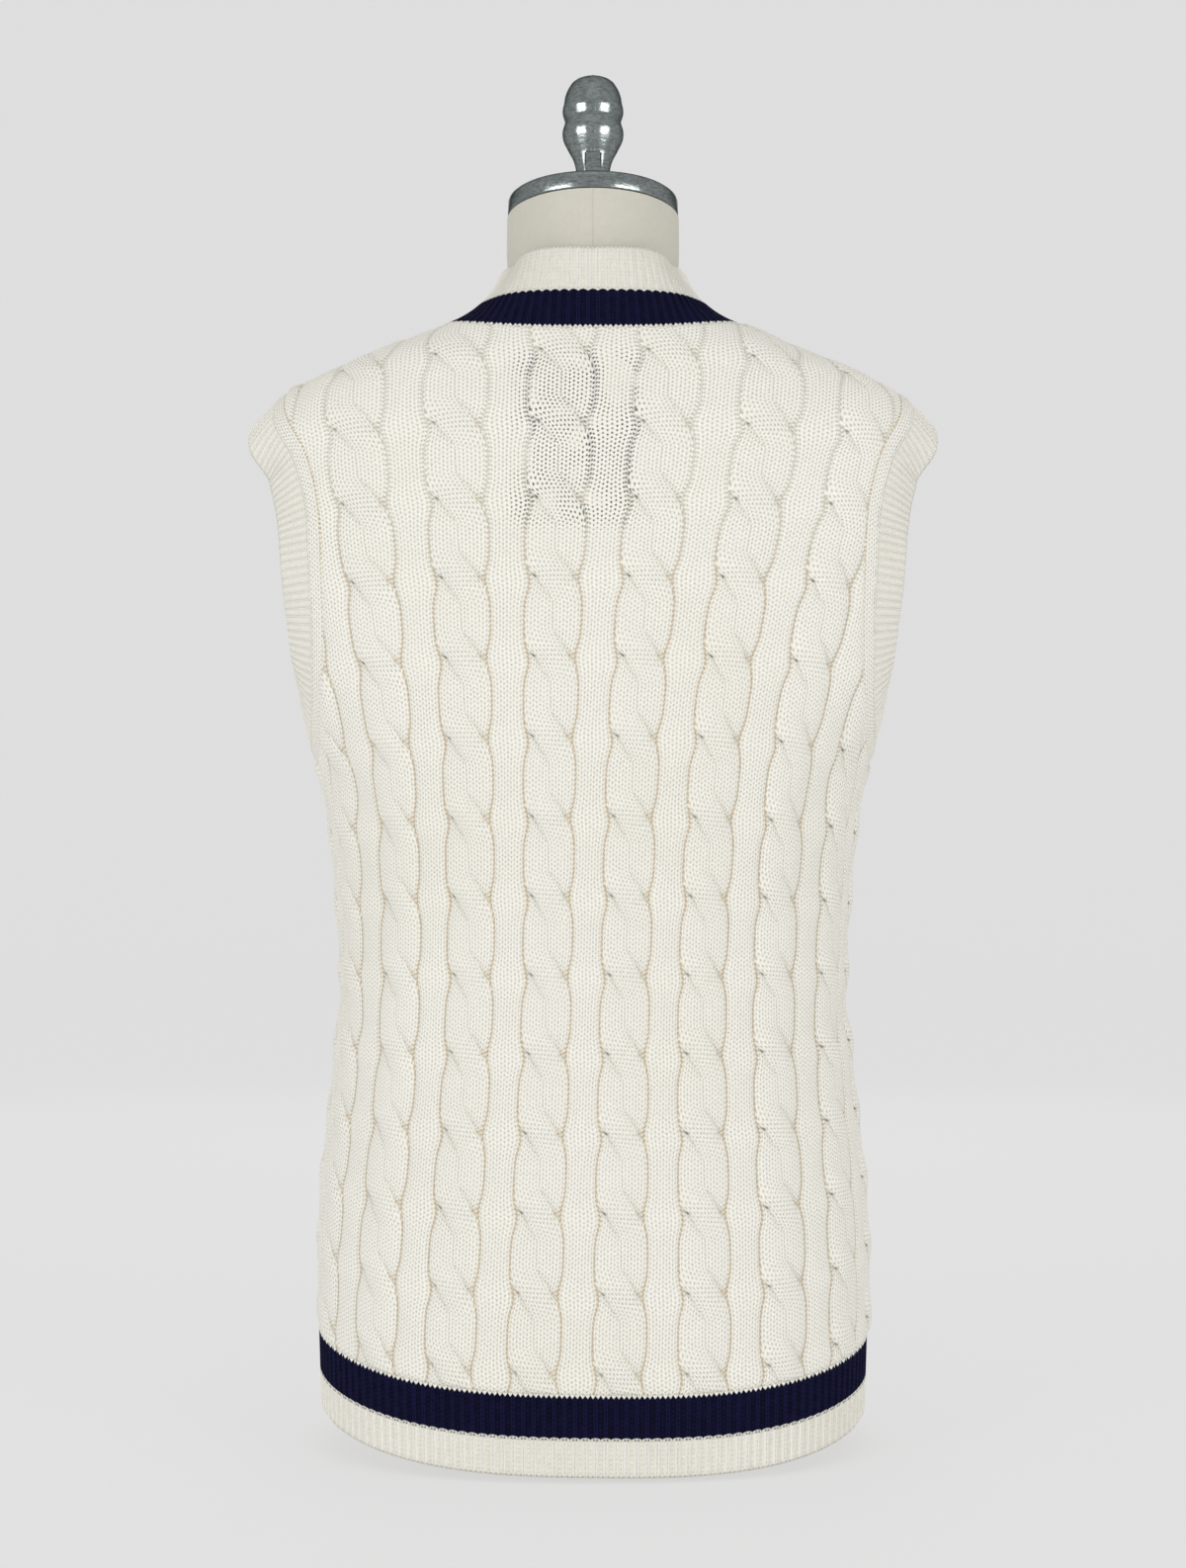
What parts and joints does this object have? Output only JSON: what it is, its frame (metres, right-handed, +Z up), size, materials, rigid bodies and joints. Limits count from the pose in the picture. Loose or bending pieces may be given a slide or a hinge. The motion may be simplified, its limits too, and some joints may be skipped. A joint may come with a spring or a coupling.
{
  "type": "sleeveless v-neck cable-knit sweater on a dress form",
  "caption": "Sleeveless V-neck sweater in cream cable knit with navy stripes in the neck and hem ribs, on a limbless linen dress form with a cast metal neck cap and finial.",
  "frame": {"origin": "centre of the underside of the form's foot, on the surface it stands on", "axes": "+Z up, +Y towards the wearer's back, which is the side in the picture, -Y towards the front, +X towards the wearer's left"},
  "size_m": [0.4146, 0.2405, 0.8238],
  "materials": {
    "cream_cotton": "matt knitted cotton",
    "navy_cotton": "matt knitted cotton",
    "linen": "plain woven linen",
    "cast_metal": "grey cast metal, semi-gloss",
    "beech": "matt varnish"
  },
  "bodies": {
    "root": {"back_panel": "cream_cotton", "front_panel": "cream_cotton", "hem_rib_back_navy": "navy_cotton", "hem_rib_back_cream": "cream_cotton", "hem_rib_front_navy": "navy_cotton", "hem_rib_front_cream": "cream_cotton", "neck_rib_navy": "navy_cotton", "neck_rib_cream": "cream_cotton", "armhole_rib_left": "cream_cotton", "armhole_rib_right": "cream_cotton", "form_torso": "linen", "form_foot": "beech", "neck_cap": "cast_metal", "finial": "cast_metal"}
  },
  "joints": []
}
